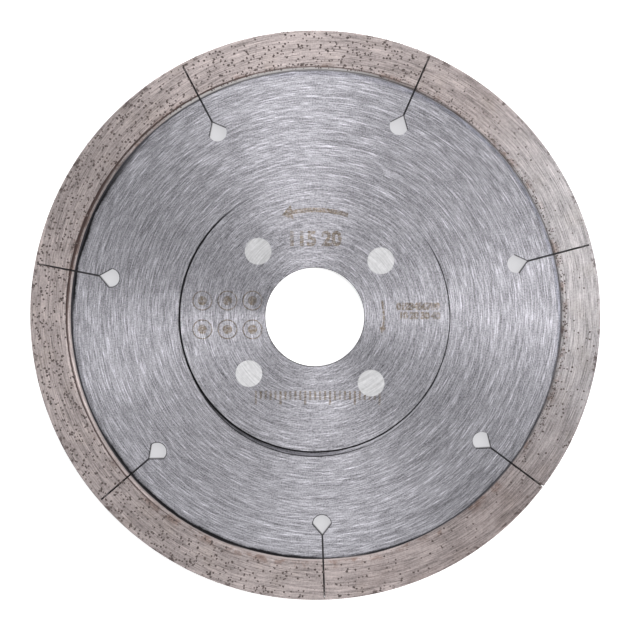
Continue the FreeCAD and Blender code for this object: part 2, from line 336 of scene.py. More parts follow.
@cache
def specks_group():
    """Small dots of uneven shape, scattered over the surface."""
    sheet, given, result = new_group("Specks", "ShaderNodeTree", {
        "Spacing": 1 * MM,
        "Share": 0.5,
        "Size": 0.2,
    }, {"Specks": "NodeSocketFloat"})
    place = sheet.place()
    ripple = sheet.noise(place, 2500.0, detail=2.0)
    cells = sheet.add("ShaderNodeTexVoronoi", feature="F1")
    sheet.fill(cells, Vector=place, Scale=sheet.maths("DIVIDE", 1.0, given["Spacing"]), Randomness=1.0)
    draws = sheet.separated(cells.outputs["Color"], "Color")
    chosen = sheet.maths("LESS_THAN", draws[0], given["Share"])
    size = sheet.maths("MULTIPLY", given["Size"], sheet.maths("MULTIPLY_ADD", draws[1], 0.8, 0.4))
    distance = sheet.swing(ripple, size, cells.outputs["Distance"])
    dot = sheet.ramp(distance, size, sheet.maths("MULTIPLY", size, 0.55))
    sheet.feed(result["Specks"], sheet.maths("MULTIPLY", dot, chosen))
    return sheet.tree


@cache
def slot_place_group():
    """A place as seen from the nearest slot: X along it from the axis, and Y away from its middle."""
    sheet, given, result = new_group("Slot Place", "ShaderNodeTree", {
        "First Direction": 0.0,
        "Pitch": 1.0,
    }, {"Place": "NodeSocketVector"})
    place = sheet.place()
    parts = sheet.separated(place)
    radius = sheet.vector("LENGTH", sheet.flat(place))
    heading = sheet.maths("ARCTAN2", parts["Y"], parts["X"])
    turned = sheet.maths("SUBTRACT", heading, given["First Direction"])
    half_pitch = sheet.maths("MULTIPLY", given["Pitch"], 0.5)
    folded = sheet.maths("WRAP", turned, half_pitch, sheet.maths("MULTIPLY", half_pitch, -1.0))
    along = sheet.maths("MULTIPLY", radius, sheet.maths("COSINE", folded))
    across = sheet.maths("MULTIPLY", radius, sheet.maths("ABSOLUTE", sheet.maths("SINE", folded)))
    sheet.feed(result["Place"], sheet.combined(X=along, Y=across))
    return sheet.tree


def marks(sheet, centre, width, length, start=0.0):
    return sheet.group(grinding_marks_group(), Centre=centre, Width=width, Length=length, Start=start)


def outside(sheet, centre, radius, softness, raggedness=0.0, waviness=0.0):
    """1 outside a circle, whose border is described in millimetres."""
    return sheet.group(circle_group(), Centre=centre, Radius=radius, Softness=softness * MM,
                       Raggedness=raggedness * MM, Waviness=waviness * MM)


def past_foot(sheet, distance, softness, raggedness=0.0, waviness=0.0, centre=AXIS):
    """1 outside the circle that lies a distance in millimetres outwards from the rim's foot."""
    return outside(sheet, centre, RIM_FOOT + distance * MM, softness, raggedness, waviness)


def towards(sheet, degrees, fade_start, fade_end):
    """1 in a direction; the fade is given as angles away from it, the far one first."""
    start, end = [math.cos(math.radians(angle)) for angle in (fade_start, fade_end)]
    return sheet.group(sector_group(), Direction=polar(1.0, degrees), Fade_Start=start, Fade_End=end)


def specks(sheet, spacing, share, size):
    return sheet.group(specks_group(), Spacing=spacing, Share=share, Size=size)


def beside_slot(sheet):
    """How far a place is from the axis along the nearest slot, and how far from the slot's middle."""
    spot = sheet.separated(sheet.group(slot_place_group(), First_Direction=FIRST_SLOT, Pitch=SLOT_PITCH))
    return spot["X"], spot["Y"]


def slot_edges(sheet):
    """The walls of the slots, where shade is painted; they stop where the slots close near the rim's edge."""
    along, across = beside_slot(sheet)
    beside = sheet.ramp(across, SLOT_HALF_WIDTH + 0.075 * MM, SLOT_HALF_WIDTH + 0.035 * MM)
    started = sheet.maths("GREATER_THAN", along, KEYHOLE_DISTANCE + KEYHOLE_POINT)
    ended = sheet.ramp(along, RIM_EDGE - 0.4 * MM, RIM_EDGE - 0.6 * MM)
    return both(sheet, beside, started, ended)


def keyhole_edges(sheet):
    """A line of painted shade along the keyholes' walls: on the flanks of all, and all round at the lower
    left.
    """
    along, across = beside_slot(sheet)
    forward = sheet.maths("SUBTRACT", along, KEYHOLE_DISTANCE)
    arm = sheet.combined(X=forward, Y=across)

    # Inwards a keyhole is half a circle, and outwards its flanks run straight to a point
    round_part = sheet.maths("SUBTRACT", sheet.vector("LENGTH", arm), KEYHOLE_RADIUS)
    across_flank = Vector((KEYHOLE_RADIUS, KEYHOLE_POINT, 0.0)).normalized()
    flank = sheet.maths("SUBTRACT", sheet.vector("DOT_PRODUCT", arm, across_flank),
                        across_flank.x * KEYHOLE_POINT)
    pointed = sheet.maths("GREATER_THAN", forward, 0.0)
    away = sheet.maths("MULTIPLY_ADD", pointed, sheet.maths("SUBTRACT", flank, round_part), round_part)
    line = both(sheet, sheet.ramp(away, -0.12 * MM, -0.02 * MM), sheet.ramp(away, 0.2 * MM, 0.1 * MM))
    return both(sheet, line, sheet.maths("MAXIMUM", pointed, towards(sheet, 235, 110, 50)))


def both(sheet, *masks):
    """Where all masks are 1."""
    result = masks[0]
    for mask in masks[1:]:
        result = sheet.maths("MULTIPLY", result, mask)
    return result


def inverse(sheet, mask):
    return sheet.maths("SUBTRACT", 1.0, mask)


def between(sheet, inner, outer):
    """Outside the first circle and inside the second."""
    return both(sheet, inner, inverse(sheet, outer))


def brightened(sheet, colour, gain):
    """The colour times a number."""
    grey = sheet.fill(sheet.add("ShaderNodeCombineColor"), Red=gain, Green=gain, Blue=gain)
    return sheet.blend(1.0, colour, grey.outputs[0], how="MULTIPLY")


class Coat:
    """A colour that is built up in layers, each of them where all its masks are 1."""

    def __init__(self, sheet, colour):
        self.sheet = sheet
        self.colour = colour

    def paint(self, paint, amount, *masks, how="MIX"):
        mask = self.sheet.maths("MULTIPLY", both(self.sheet, *masks), amount)
        self.colour = self.sheet.blend(mask, self.colour, paint, how=how)

    def tint(self, tint, amount, *masks):
        """Multiply the colour by another one, or by a number."""
        if isinstance(tint, float):
            tint = (tint, tint, tint, 1.0)
        self.paint(tint, amount, *masks, how="MULTIPLY")


def new_material(name):
    material = bpy.data.materials.new(name)
    material.use_nodes = True
    material.node_tree.nodes.clear()
    return material, NodeSheet(material.node_tree)


def finish_surface(sheet, colour, roughness, metallic=1.0, anisotropy=0.0, height=None, depth=0.0, glow=None):
    """End a material in a shader whose highlights spread outwards from the disc's axis."""
    shader = sheet.add("ShaderNodeBsdfPrincipled")
    sheet.fill(shader, Base_Color=colour, Roughness=roughness, Metallic=metallic, Anisotropic=anisotropy)
    if glow is not None:
        sheet.fill(shader, Emission_Color=glow, Emission_Strength=1.0)
    if anisotropy:
        sheet.feed(shader.inputs["Tangent"], sheet.place())
    if height is not None:
        bump = sheet.fill(sheet.add("ShaderNodeBump"), Strength=1.0, Distance=depth, Height=height)
        sheet.feed(shader.inputs["Normal"], bump.outputs[0])
    output = sheet.add("ShaderNodeOutputMaterial")
    sheet.feed(output.inputs["Surface"], shader.outputs[0])


# Finishes

SWIRL_CENTRES = (polar(2.4 * MM, 35), polar(3.1 * MM, 205), polar(1.2 * MM, 310))
BLACK = (0.012, 0.011, 0.012, 1.0)
SHADE = (0.30, 0.30, 0.32, 1.0)
LINE_GREY = (0.06, 0.058, 0.066, 1.0)
BROWN = (0.075, 0.052, 0.048, 1.0)

# How dark the lines of painted shade beside the hub, the slots and the keyholes are
HUB_LINE = 0.95
SLOT_LINE = 0.93
KEYHOLE_LINE = 0.88

# How coarse the grinding marks on the flanges are, beside those on the core
FLANGE_COARSENESS = 0.72

# The hub's dark line is widest at the lower left, and the crescent below it holds painted shade, as cast by
# the raised flange
HUB_LINE_CENTRE = polar(0.1 * MM, 195)
CRESCENT_CENTRE = polar(1.44 * MM, 268)
CRESCENT_RADIUS = 26.86 * MM

# The edge of the smeared matrix is as large as the rim's foot but lies off its centre, so it runs over the
# core at the lower left and over the rim itself at the upper right. The residue and the brown line lie off
# centre too, each in its own direction.
SMEAR_CENTRE = polar(0.26 * MM, 45)
RESIDUE_CENTRE = polar(0.42 * MM, 32)
BROWN_LINE_CENTRE = polar(0.28 * MM, 120)


def ground_steel(sheet, finish, coarseness=1.0):
    """The coat, roughness and height of steel with arcs from two grinding passes and stray scratches."""
    width, length = coarseness * finish.streak_width, finish.streak_length
    first = marks(sheet, SWIRL_CENTRES[0], width, length)
    second = marks(sheet, SWIRL_CENTRES[1], 1.25 * width, 0.45 * length, 31.0)
    stray = marks(sheet, SWIRL_CENTRES[2], 1.5 * width, 1.8 * length, 53.0)
    broad = marks(sheet, AXIS, 8 * width, 3 * length, 77.0)
    grain = sheet.noise(sheet.place(), 3500.0, detail=1.0)
    fine = sheet.maths("MULTIPLY", sheet.maths("ADD", first, second), 0.5)
    nick = specks(sheet, 4.5 * MM, 0.25, 0.035)

    # Light marks stand out more than dark ones
    swing = sheet.maths("SUBTRACT", fine, 0.5)
    gain = sheet.maths("MULTIPLY_ADD", swing, sheet.maths("MULTIPLY_ADD", swing, 8.6, 3.3), 0.96)
    gain = sheet.swing(broad, 0.4, gain)
    gain = sheet.swing(grain, 1.2, gain)
    gain = sheet.maths("ADD", gain, sheet.ramp(stray, 0.63, 0.73, 0.0, 0.55))
    gain = sheet.maths("ADD", gain, sheet.ramp(stray, 0.3, 0.22, 0.0, -0.15))
    gain = sheet.maths("MULTIPLY", gain, sheet.maths("MULTIPLY_ADD", nick, -0.7, 1.0))
    coat = Coat(sheet, brightened(sheet, finish.colour, gain))
    # Painted light and shade: darker towards 18 and 160 degrees and lighter towards 190, as the lamps light
    # the steel unevenly
    for direction, share in ((18, 0.9), (160, 0.88), (190, 1.05)):
        coat.tint(share, 1.0, towards(sheet, direction, 20, 6))

    # The wall of the bore is dark
    coat.paint(BLACK, 0.85, inverse(sheet, outside(sheet, AXIS, BORE_EDGE + 0.08 * MM, 0.05)))
    return coat, sheet.swing(broad, -0.15, finish.roughness), fine


def finish_steel(coat, finish, roughness, height):
    finish_surface(coat.sheet, coat.colour, roughness, anisotropy=finish.anisotropy,
                   height=height, depth=finish.groove_depth)


def hub_line(sheet):
    """A line of painted shade at the foot of the flange, which fades at the top."""
    inner = outside(sheet, AXIS, FLANGE_EDGE - 0.1 * MM, 0.06)
    outer = outside(sheet, HUB_LINE_CENTRE, FLANGE_EDGE + 0.24 * MM, 0.07, 0.16)
    return both(sheet, between(sheet, inner, outer), towards(sheet, 261, 154, 120))


def paint_crescent(coat, finish):
    """Painted shade in the crescent between the flange and a larger circle that lies lower, as cast by the
    raised flange, with a painted dark outline and a painted highlight beside the flange at the lower right.
    """
    sheet = coat.sheet
    crescent = inverse(sheet, outside(sheet, CRESCENT_CENTRE, CRESCENT_RADIUS, 0.1, 0.2))
    coat.tint(SHADE, 0.75, crescent, towards(sheet, 225, 75, 45))
    shadow = inverse(sheet, outside(sheet, AXIS, FLANGE_EDGE + 0.45 * MM, 0.3, 0.2))
    coat.paint(BLACK, 0.6, crescent, shadow, towards(sheet, 218, 42, 22))
    outline = between(sheet, outside(sheet, CRESCENT_CENTRE, CRESCENT_RADIUS - 0.2 * MM, 0.08),
                      outside(sheet, CRESCENT_CENTRE, CRESCENT_RADIUS + 0.02 * MM, 0.08, 0.15))
    coat.paint(BLACK, 0.75, outline, towards(sheet, 250, 50, 30))
    coat.paint(BLACK, 0.4, outline, towards(sheet, 300, 42, 26))
    glint = between(sheet, outside(sheet, AXIS, FLANGE_EDGE + 0.32 * MM, 0.07),
                    outside(sheet, AXIS, FLANGE_EDGE + 0.52 * MM, 0.07))
    coat.paint(brightened(sheet, finish.colour, 1.55), 0.75, glint, towards(sheet, 311, 34, 22))


def paint_residue(coat):
    """Dark residue at the foot of the rim, widest on the left, and elsewhere a thin line of painted shade
    along the foot's step.
    """
    sheet = coat.sheet
    haze = past_foot(sheet, -0.85, 0.55, 0.5, 0.8, RESIDUE_CENTRE)
    coat.tint(SHADE, 0.6, haze, towards(sheet, 212, 100, 60))
    # Painted shade: the steel near the rim is darker towards the lower right
    coat.tint(0.86, 1.0, past_foot(sheet, -5.0, 1.5), towards(sheet, 303, 22, 8))
    residue = past_foot(sheet, -0.62, 0.18, 0.5, 1.1, RESIDUE_CENTRE)
    gap = both(sheet, towards(sheet, 194, 20, 8), inverse(sheet, past_foot(sheet, -0.6, 0.06)))
    coat.paint(BLACK, 0.97, residue, inverse(sheet, gap), towards(sheet, 208, 80, 54))
    line = past_foot(sheet, -0.32, 0.07, 0.2, 0.45, SMEAR_CENTRE)
    coat.paint(LINE_GREY, 0.3, line)
    coat.paint(LINE_GREY, 0.8, line, inverse(sheet, towards(sheet, 48, 66, 40)))
    wide_line = past_foot(sheet, -0.4, 0.12, 0.25, 0.45, SMEAR_CENTRE)
    coat.paint(BLACK, 0.7, wide_line, towards(sheet, 262, 46, 26))


def core_steel(finish, rim):
    """The core, with the painted shade of the crescent below the hub, and residue, painted shade and smear
    along the rim's foot.
    """
    material, sheet = new_material("core_steel")
    coat, roughness, height = ground_steel(sheet, finish)
    paint_crescent(coat, finish)
    coat.paint(BLACK, HUB_LINE, hub_line(sheet))
    paint_residue(coat)

    # Painted shade of the rim's raised foot on the core: bluish at the upper right, and a wider grey one at
    # the top
    rim_shade = past_foot(sheet, -0.55, 0.28, 0.4, 0.8)
    coat.tint((0.65, 0.68, 0.76, 1.0), 0.65, rim_shade, towards(sheet, 30, 52, 20))
    wide_rim_shade = past_foot(sheet, -1.0, 0.3, 0.4, 0.8)
    coat.tint((0.7, 0.7, 0.74, 1.0), 0.65, wide_rim_shade, towards(sheet, 82, 26, 12))

    # Matrix smeared over the edge of the core, wider at the bottom, with a painted highlight that makes it
    # lighter, most at the bottom
    smear = past_foot(sheet, 0.0, 0.05, 0.12, centre=SMEAR_CENTRE)
    coat.paint(brightened(sheet, rim.colour, 1.1), 1.0, smear)
    inner_smear = past_foot(sheet, -0.17, 0.06, 0.12, centre=SMEAR_CENTRE)
    coat.paint(brightened(sheet, rim.colour, 1.3), 1.0, inner_smear, towards(sheet, 266, 18, 8))
    # Painted shade in the slots and along the keyholes' walls
    coat.paint(BLACK, SLOT_LINE, slot_edges(sheet))
    coat.paint(BLACK, KEYHOLE_LINE, keyhole_edges(sheet))
    finish_steel(coat, finish, roughness, height)
    return material


def flange_steel(finish):
    material, sheet = new_material("flange_steel")
    coat, roughness, height = ground_steel(sheet, finish, FLANGE_COARSENESS)
    coat.paint(BLACK, HUB_LINE, hub_line(sheet))
    finish_steel(coat, finish, roughness, height)
    return material


def rivet_steel(finish):
    """Bright rivet heads, ground with the flange but softer and less streaked."""
    material, sheet = new_material("rivet_steel")
    streaks = marks(sheet, SWIRL_CENTRES[0], 1.4 * finish.streak_width, 0.8 * finish.streak_length, 11.0)
    mottle = sheet.noise(sheet.place(), 1800.0, detail=3.0, roughness=0.6)
    gain = sheet.swing(mottle, 0.4, sheet.swing(streaks, 0.65, 1.0))
    coat = Coat(sheet, brightened(sheet, finish.rivet_colour, gain))
    # Painted shade on the rivet at the upper left and painted light on the one at the lower left
    for direction, share in ((130, 0.92), (220, 1.13)):
        coat.tint(share, 1.0, towards(sheet, direction, 30, 20))
    roughness = sheet.maths("MULTIPLY_ADD", mottle, 0.2, 0.42)
    finish_surface(sheet, coat.colour, roughness, height=streaks, depth=0.3 * finish.groove_depth)
    return material


def paint_slope(coat, rim, gain):
    """The slope above the foot, with painted light at the top and the lower left, and painted shade beside
    them.
    """
    sheet = coat.sheet
    slope = inverse(sheet, past_foot(sheet, 0.62, 0.06, 0.1))
    light = brightened(sheet, rim.colour, sheet.maths("MULTIPLY", gain, 1.12))
    coat.paint(light, 0.85, slope, towards(sheet, 204, 34, 18))
    upper_half = both(sheet, slope, past_foot(sheet, 0.26, 0.1, 0.15))
    coat.tint((0.66, 0.64, 0.64, 1.0), 1.0, upper_half, towards(sheet, 202, 36, 20))
    coat.paint((0.54, 0.515, 0.51, 1.0), 0.95, slope, towards(sheet, 100, 34, 20))
    for direction, spread, share in ((160, 26, 0.72), (276, 44, 0.82), (66, 18, 0.7)):
        coat.tint(share, 0.95, slope, towards(sheet, direction, spread, 0.5 * spread))


def paint_brown_line(coat, rim, gain):
    """The brown line at the top of the slope, widest on the left, with a light one at the lower left."""
    sheet = coat.sheet
    line_end = past_foot(sheet, 0.7, 0.06, 0.25, centre=BROWN_LINE_CENTRE)
    line = between(sheet, past_foot(sheet, 0.52, 0.06, 0.2, centre=polar(0.14 * MM, 70)), line_end)
    coat.paint(BROWN, 0.92, line, towards(sheet, 168, 80, 54))
    coat.paint(BROWN, 0.65, line, towards(sheet, 82, 28, 14))
    wide_part = between(sheet, past_foot(sheet, 0.28, 0.06, 0.2), line_end)
    coat.paint(BROWN, 0.9, wide_part, towards(sheet, 162, 22, 10))
    beside = between(sheet, line_end, past_foot(sheet, 1.1, 0.12, 0.3, centre=BROWN_LINE_CENTRE))
    bright = brightened(sheet, rim.colour, sheet.maths("MULTIPLY", gain, 1.35))
    coat.paint(bright, 0.75, beside, towards(sheet, 192, 30, 14))


def diamond_matrix(rim, finish):
    """Sintered bronze, ground smooth: clouds, fine streaks, pits, nicks and a brown line above its foot."""
    material, sheet = new_material("diamond_matrix")
    place = sheet.place()
    streaks = marks(sheet, SWIRL_CENTRES[0], 1.1 * finish.streak_width, 0.75 * finish.streak_length, 5.0)
    broad = marks(sheet, AXIS, 1.8 * MM, 9 * MM, 13.0)
    cloud = sheet.noise(place, 160.0, detail=3.0, roughness=0.6)
    grain = sheet.noise(place, 3200.0, detail=2.0, roughness=0.6)
    gain = sheet.swing(streaks, 1.75, 1.0)
    gain = sheet.swing(broad, 0.7, gain)
    gain = sheet.swing(grain, 1.0, gain)
    # Painted highlight: towards the right the matrix blends into the greyer, lighter highlight colour
    base = sheet.blend(towards(sheet, 5, 50, 12), rim.colour, rim.highlight_colour)
    coat = Coat(sheet, brightened(sheet, base, gain))
    coat.tint((0.84, 0.82, 0.76, 1.0), 0.35, sheet.ramp(cloud, 0.5, 0.72))

    # Painted light: lighter in four directions, beside the lamps' highlights, with darker clouds at the lower
    # right
    for direction in (40, 112, 180, 270):
        coat.tint(1.09, 1.0, towards(sheet, direction, 30, 9))
    darker = sheet.ramp(cloud, 0.36, 0.6, 0.45, 1.0)
    coat.tint((0.66, 0.61, 0.6, 1.0), 0.42, darker, towards(sheet, 312, 48, 18))

    # Brown stain between the grains near the foot
    near_foot = inverse(sheet, past_foot(sheet, 1.3, 0.7, 1.0))
    patches = sheet.ramp(sheet.noise(place, 330.0, detail=3.0, roughness=0.65), 0.48, 0.62)
    coat.tint((0.56, 0.44, 0.38, 1.0), 0.7, near_foot, patches)
    paint_slope(coat, rim, gain)
    paint_brown_line(coat, rim, gain)

    # Brown dots in a narrow band above the slope, widest on the right
    band = between(sheet, past_foot(sheet, 0.35, 0.08, 0.2),
                   past_foot(sheet, 1.2, 0.3, 0.6, 0.6, polar(0.35 * MM, 20)))
    coat.paint(BROWN, 0.9, band, specks(sheet, 0.46 * MM, 0.8, 0.46), towards(sheet, 50, 108, 66))

    # Where the core's dark line runs on over the foot, steel-grey smear lies inside it, and a line of painted
    # shade lies along the foot's step
    foot = past_foot(sheet, -0.14, 0.05, 0.12, 0.2, SMEAR_CENTRE)
    coat.paint(brightened(sheet, finish.colour, 0.95), 0.85, inverse(sheet, foot))
    foot_line = between(sheet, foot, past_foot(sheet, 0.09, 0.05, 0.12, centre=SMEAR_CENTRE))
    coat.paint(LINE_GREY, 0.65, foot_line)

    # Nicks along the outer edge, pits, and painted shade along the edges of the slots
    edge = outside(sheet, AXIS, RIM_EDGE - 0.75 * MM, 0.35, 0.9)
    nicks = sheet.ramp(sheet.noise(place, 520.0, detail=3.0, roughness=0.6), 0.55, 0.64)
    coat.paint(BROWN, 0.75, edge, nicks)
    pits = specks(sheet, 0.62 * MM, 0.2, 0.22)
    coat.paint(rim.pit_colour, 0.7, pits)
    coat.paint(BLACK, SLOT_LINE, slot_edges(sheet))

    height = sheet.maths("MULTIPLY_ADD", pits, -1.2, sheet.maths("ADD", streaks, grain))
    roughness = sheet.maths("MULTIPLY_ADD", grain, 0.25, 0.38)
    finish_surface(sheet, coat.colour, roughness, anisotropy=0.6,
                   height=height, depth=0.7 * finish.groove_depth)
    return material


def diamond_grain():
    """Dark grains that the grinding has laid open."""
    material, sheet = new_material("diamond_grain")
    mottle = sheet.noise(sheet.place(), 5200.0, detail=2.0)
    colour = sheet.blend(sheet.ramp(mottle, 0.35, 0.7), (0.05, 0.037, 0.034, 1.0), (0.14, 0.105, 0.095, 1.0))
    roughness = sheet.maths("MULTIPLY_ADD", mottle, 0.4, 0.3)
    finish_surface(sheet, colour, roughness, metallic=0.0)
    return material


def annealed_mark(mark, finish):
    """Steel that a laser has tinted brown: the grinding marks still show through."""
    material, sheet = new_material("annealed_mark")
    coat, roughness, height = ground_steel(sheet, finish, FLANGE_COARSENESS)
    worn = sheet.noise(sheet.place(), 2000.0, detail=3.0, roughness=0.7)
    faded = sheet.noise(sheet.place(), 260.0, detail=1.0)
    coat.tint(mark.colour, 1.0, sheet.ramp(worn, 0.38, 0.58, 0.4, 1.0),
              sheet.ramp(faded, 0.3, 0.5, 0.65, 1.0))
    finish_steel(coat, finish, roughness, height)
    return material


def pale_floor(studio):
    """A pale floor that glows a little. Painted shade makes it darker below the disc, takes its glow from the
    slots and darkens it along the keyholes' walls.
    """
    material, sheet = new_material("pale_floor")
    grain = sheet.noise(sheet.place(), 60.0, detail=4.0)
    covered = between(sheet, outside(sheet, AXIS, BORE_EDGE + 2 * MM, 0.5),
                      outside(sheet, AXIS, RIM_EDGE - 2 * MM, 0.5))
    coat = Coat(sheet, brightened(sheet, studio.floor_colour, sheet.swing(grain, 0.02, 1.0)))
    coat.paint(studio.shaded_colour, 1.0, covered)
    glow = Coat(sheet, (studio.floor_glow,) * 3 + (1.0,))
    glow.paint(studio.shaded_glow, 1.0, covered)
    glow.colour = brightened(sheet, glow.colour, inverse(sheet, slot_edges(sheet)))
    glow.paint(BLACK, 0.5, keyhole_edges(sheet))
    finish_surface(sheet, coat.colour, 0.8, metallic=0.0, glow=glow.colour)
    return material


# Pieces


def dress(nodes, material):
    """Give CAD nodes a finish."""
    for name in nodes:
        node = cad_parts[name]
        if not node.material_slots:
            node.data.materials.append(material)
        for slot in node.material_slots:
            slot.material = material


def add_piece(name, mesh, material):
    """Put a finished mesh in the scene, riding on the disc."""
    mesh.name = name
    mesh.materials.clear()
    mesh.materials.append(material)
    piece = bpy.data.objects.new(name, mesh)
    bpy.context.scene.collection.objects.link(piece)
    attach(piece, BODY)


def applied(carrier):
    """The mesh that an object has with its modifiers, and the object gone."""
    bpy.context.view_layer.update()
    evaluated = carrier.evaluated_get(bpy.context.evaluated_depsgraph_get())
    mesh = bpy.data.meshes.new_from_object(evaluated)
    source = carrier.data
    carrier.modifiers.clear()
    bpy.data.objects.remove(carrier)
    if isinstance(source, bpy.types.Mesh):
        bpy.data.meshes.remove(source)
    return mesh


def run_geometry(tree, mesh, values):
    """Run a geometry tree on a mesh and return the result as a plain mesh."""
    carrier = bpy.data.objects.new("carrier", mesh)
    bpy.context.scene.collection.objects.link(carrier)
    modifier = carrier.modifiers.new(tree.name, "NODES")
    modifier.node_group = tree
    for item in tree.interface.items_tree:
        if item.item_type == "SOCKET" and item.in_out == "INPUT" and item.name in values:
            modifier[item.identifier] = values[item.name]
    return applied(carrier)


def mesh_from(shell, name):
    mesh = bpy.data.meshes.new(name)
    shell.to_mesh(mesh)
    shell.free()
    return mesh


def joined_copy(names, label):
    """One mesh with the welded faces of several CAD nodes."""
    shell = bmesh.new()
    for name in names:
        shell.from_mesh(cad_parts[name].data)
    bmesh.ops.remove_doubles(shell, verts=shell.verts, dist=0.001 * MM)
    return mesh_from(shell, label)


def end_tree(sheet, result, geometry, finish):
    """Turn instances into plain geometry with its material."""
    solid = sheet.add("GeometryNodeRealizeInstances")
    sheet.feed(solid.inputs[0], geometry)
    coated = sheet.add("GeometryNodeSetMaterial")
    sheet.fill(coated, Geometry=solid.outputs[0], Material=finish)
    sheet.feed(result["Geometry"], coated.outputs[0])


# The smallest grain's radius as a share of the largest one's, and the depth of a grain's middle as a share
# of its own radius
SMALLEST_GRAIN = 0.55
GRAIN_DEPTH = 0.66


def grit_tree():
    """Grains scattered over the faces of the rim, more of them at its edges and fewer on its sparse side."""
    sheet, given, result = new_group("Diamond Grit", "GeometryNodeTree", {
        "Geometry": "NodeSocketGeometry",
        "Density": 1e6,
        "Grain Size": 0.2 * MM,
        "Inner Edge": 50 * MM,
        "Outer Edge": 57 * MM,
        "Face": 0.8 * MM,
        "Crowded Side": (0.0, 1.0, 0.0),
        "Crowded Inner Side": (0.0, 1.0, 0.0),
        "Crowded Outer Side": (0.0, 1.0, 0.0),
        "Sparse Side": (1.0, 0.0, 0.0),
        "Seed": 1,
        "Finish": "NodeSocketMaterial",
    }, {"Geometry": "NodeSocketGeometry"})
    scatter = sheet.add("GeometryNodeDistributePointsOnFaces", distribute_method="RANDOM")
    sheet.fill(scatter, Mesh=given["Geometry"], Density=given["Density"], Seed=given["Seed"])

    # How likely a grain is to show at its place
    place = sheet.add("GeometryNodeInputPosition").outputs[0]
    flat = sheet.flat(place)
    radius = sheet.vector("LENGTH", flat)
    heading = sheet.vector("NORMALIZE", flat)

    def side(name, *limits):
        return sheet.ramp(sheet.vector("DOT_PRODUCT", heading, given[name]), *limits)

    sparse = side("Sparse Side", 0.76, 0.96)
    crowd = sheet.maths("MULTIPLY", side("Crowded Side", -0.75, 0.15, 0.22, 0.95),
                        sheet.maths("MULTIPLY_ADD", sparse, -0.7, 1.0))
    near_inner = sheet.ramp(radius, sheet.maths("ADD", given["Inner Edge"], 1.3 * MM), given["Inner Edge"])
    inner_side = side("Crowded Inner Side", -0.2, 0.6)
    rim_edge = given["Outer Edge"]
    near_outer = sheet.ramp(radius, sheet.maths("SUBTRACT", rim_edge, 2.8 * MM),
                            sheet.maths("SUBTRACT", rim_edge, 0.8 * MM))
    outer_side = side("Crowded Outer Side", -0.3, 0.5)
    edges = sheet.maths("MULTIPLY_ADD", both(sheet, near_inner, inner_side), 1.1,
                        sheet.maths("MULTIPLY", both(sheet, near_outer, outer_side), 0.75))
    patches = sheet.ramp(sheet.noise(place, 420.0, detail=1.0), 0.3, 0.62, 0.3, 1.0)

    # Grains only lie on the two faces and in the middle of the outer edge
    level = sheet.maths("ABSOLUTE", sheet.separated(place)["Z"])
    facing = sheet.maths("ABSOLUTE", sheet.vector("DOT_PRODUCT", scatter.outputs["Normal"], (0.0, 0.0, 1.0)))
    on_face = both(sheet, sheet.maths("GREATER_THAN", facing, 0.999),
                   sheet.maths("GREATER_THAN", level, sheet.maths("SUBTRACT", given["Face"], 0.01 * MM)),
                   sheet.maths("LESS_THAN", radius, sheet.maths("SUBTRACT", rim_edge, given["Grain Size"])))
    on_edge = both(sheet, sheet.maths("GREATER_THAN", radius, sheet.maths("SUBTRACT", rim_edge, 0.02 * MM)),
                   sheet.maths("LESS_THAN", level, sheet.maths("MULTIPLY", given["Face"], 0.4)))
    chance = both(sheet, sheet.maths("ADD", crowd, edges), patches, sheet.maths("ADD", on_face, on_edge))
    draw = sheet.fill(sheet.add("FunctionNodeRandomValue", data_type="FLOAT"), Seed=given["Seed"])
    hidden = sheet.add("FunctionNodeCompare", data_type="FLOAT", operation="GREATER_THAN")
    sheet.feed(hidden.inputs[0], draw.outputs[1])
    sheet.feed(hidden.inputs[1], chance)
    thinned = sheet.add("GeometryNodeDeleteGeometry", domain="POINT")
    sheet.feed(thinned.inputs["Geometry"], scatter.outputs["Points"])
    sheet.feed(thinned.inputs["Selection"], hidden.outputs[0])

    # Each grain is turned and sized by chance, and more than half sunk
    turn = sheet.add("FunctionNodeRandomValue", data_type="FLOAT_VECTOR")
    turn.inputs["Max"].default_value = (math.tau, math.tau, math.tau)
    size = sheet.add("FunctionNodeRandomValue", data_type="FLOAT")
    size.inputs[2].default_value = SMALLEST_GRAIN
    size.inputs[3].default_value = 1.0
    scale = sheet.maths("MULTIPLY", size.outputs[1], given["Grain Size"])
    scale = sheet.maths("MULTIPLY", scale, sheet.maths("MULTIPLY_ADD", sparse, -0.25, 1.0))
    sunk = sheet.scaled(scatter.outputs["Normal"], sheet.maths("MULTIPLY", scale, -GRAIN_DEPTH))
    settled = sheet.add("GeometryNodeSetPosition")
    sheet.fill(settled, Geometry=thinned.outputs[0], Offset=sunk)
    grain = sheet.add("GeometryNodeMeshIcoSphere")
    grain.inputs["Radius"].default_value = 1.0
    grain.inputs["Subdivisions"].default_value = 1
    grains = sheet.add("GeometryNodeInstanceOnPoints")
    sheet.fill(grains, Points=settled.outputs[0], Instance=grain.outputs[0],
               Rotation=turn.outputs[0], Scale=scale)
    end_tree(sheet, result, grains.outputs[0], given["Finish"])
    return sheet.tree


